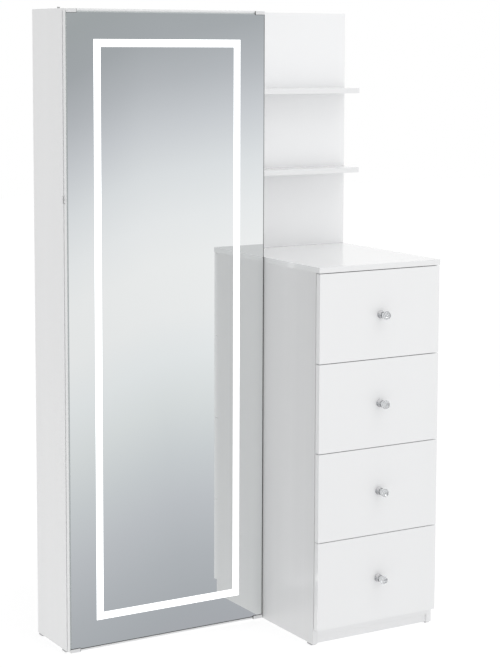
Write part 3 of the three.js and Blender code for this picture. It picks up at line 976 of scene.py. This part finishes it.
# %% [markdown]
# ## Small fittings
#
# What is left are the things that come in the bag of screws: pins under the loose shelves,
# covers over the cam locks, nails round the thin backs, glides under the side panels, and the
# face of the lighting box. Each kind is drawn once and set out by a loop.

# %% Shelf pins
PIN_RADIUS = 2.5 * MM
PIN_LENGTH = 8 * MM
PIN_INSET = 26 * MM
for number in range(1, 4):
    low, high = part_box(f"cabinet_shelf_{number}")
    pins = bmesh.new()
    for x, reach in ((low.x, PIN_LENGTH), (high.x, -PIN_LENGTH)):
        for y in (low.y + PIN_INSET, high.y - PIN_INSET):
            near, far = sorted((x, x + reach))
            add_slab(pins, circle((y, low.z - PIN_RADIUS), PIN_RADIUS, 16), near, far, "x")
    finished(f"shelf_pins_{number}", pins, "cabinet", [satin_nickel])

# %% Cam lock covers
COVER_RADIUS = 8.5 * MM
COVER_RISE = 0.7 * MM


def cam_covers(name, walls, ys, zs):
    covers = bmesh.new()
    for x, inward in walls:
        for y in ys:
            for z in zs:
                near, far = sorted((x, x + inward * COVER_RISE))
                add_slab(covers, circle((y, z), COVER_RADIUS, 28), near, far, "x")
    return finished(name, covers, "cabinet", [white_plastic])


left_low, left_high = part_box("cabinet_left_side")
right_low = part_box("cabinet_right_side")[0]
cam_covers("cam_covers_cabinet", [(left_high.x, 1), (right_low.x, -1)],
           [left_low.y + 40 * MM, left_high.y - 40 * MM],
           [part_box("cabinet_top")[0].z - 26 * MM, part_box("cabinet_bottom")[1].z + 26 * MM])
chest_left, chest_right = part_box("chest_left_side"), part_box("chest_right_side")
cam_covers("cam_covers_chest", [(chest_left[1].x, 1), (chest_right[0].x, -1)],
           [chest_left[0].y + 40 * MM, chest_left[1].y - 60 * MM],
           [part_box("chest_top")[0].z - 20 * MM])

# %% Nails round the thin backs
NAIL_RADIUS = 2.4 * MM
NAIL_PITCH = 150 * MM
NAIL_INSET = 7 * MM


def nail_row(start, end):
    count = max(2, round((end - start) / NAIL_PITCH) + 1)
    return [start + (end - start) * i / (count - 1) for i in range(count)]


for name in ("cabinet_back", "chest_back"):
    low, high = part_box(name)
    xs = nail_row(low.x + NAIL_INSET, high.x - NAIL_INSET)
    zs = nail_row(low.z + NAIL_INSET, high.z - NAIL_INSET)
    places = {(x, z) for x in xs for z in (zs[0], zs[-1])} | {(x, z) for x in (xs[0], xs[-1]) for z in zs}
    nails = bmesh.new()
    for place in sorted(places):
        add_slab(nails, circle(place, NAIL_RADIUS, 14), high.y - 0.5 * MM, high.y + 0.35 * MM)
    finished(f"{name}_nails", nails, "cabinet", [bright_zinc])

# %% Glides
GLIDE_HEIGHT = 4 * MM
GLIDE_PROUD = 0.25 * MM
GLIDE_INSET, GLIDE_LENGTH = 8 * MM, 22 * MM
for panel in ("cabinet_left_side", "cabinet_right_side", "chest_left_side", "chest_right_side"):
    low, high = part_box(panel)
    glides = bmesh.new()
    for start in (low.y + GLIDE_INSET, high.y - GLIDE_INSET - GLIDE_LENGTH):
        add_slab(glides,
                 rectangle((low.x - GLIDE_PROUD, start - GLIDE_PROUD),
                           (high.x + GLIDE_PROUD, start + GLIDE_LENGTH + GLIDE_PROUD)),
                 low.z, low.z + GLIDE_HEIGHT, "z")
    finished(f"{panel}_glides", glides, "cabinet", [grey_plastic])

# %% Face of the lighting box
box_low, box_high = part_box("led_control_box")
box_x = (box_low.x + box_high.x) / 2
CORNER_INSET = 7 * MM
TOUCH_DROP, TOUCH_RADIUS = 26 * MM, 9 * MM
VENTS = 7
VENT_HALF, VENT_HEIGHT = 22 * MM, 2.2 * MM
trim = bmesh.new()
for x in (box_low.x + CORNER_INSET, box_high.x - CORNER_INSET):
    for z in (box_low.z + CORNER_INSET, box_high.z - CORNER_INSET):
        add_screw(trim, (x, z), box_high.y - 0.2 * MM, box_high.y + 0.9 * MM, "y", 2.6 * MM)
finished("lighting_box_screws", trim, "mirror_door", [satin_nickel])
# The vent slots are drawn as dark plastic strips on the face: painted shade for the slots' hollows. The touch
# pad is dark plastic.
slots = bmesh.new()
for i in range(VENTS):
    z = box_low.z + (30 + 6 * i) * MM
    add_slab(slots, rectangle((box_x - VENT_HALF, z), (box_x + VENT_HALF, z + VENT_HEIGHT)),
             box_high.y - 0.3 * MM, box_high.y + 0.15 * MM)
add_slab(slots, circle((box_x, box_high.z - TOUCH_DROP), TOUCH_RADIUS, 32),
         box_high.y - 0.3 * MM, box_high.y + 0.5 * MM)
finished("lighting_box_shade_painted_vents_and_touch_pad", slots, "mirror_door", [dark_plastic])

# %% [markdown]
# ## Check the size and finish
#
# Dressing must not change the furniture. The last step measures the dressed unit against the
# joiner's and writes both down.

# %% Size
low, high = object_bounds()
growth = [round((a - b) / MM, 2) for a, b in zip(high - low, CAD_HIGH - CAD_LOW)]
print("dressed unit differs from the joiner's by", growth, "mm")
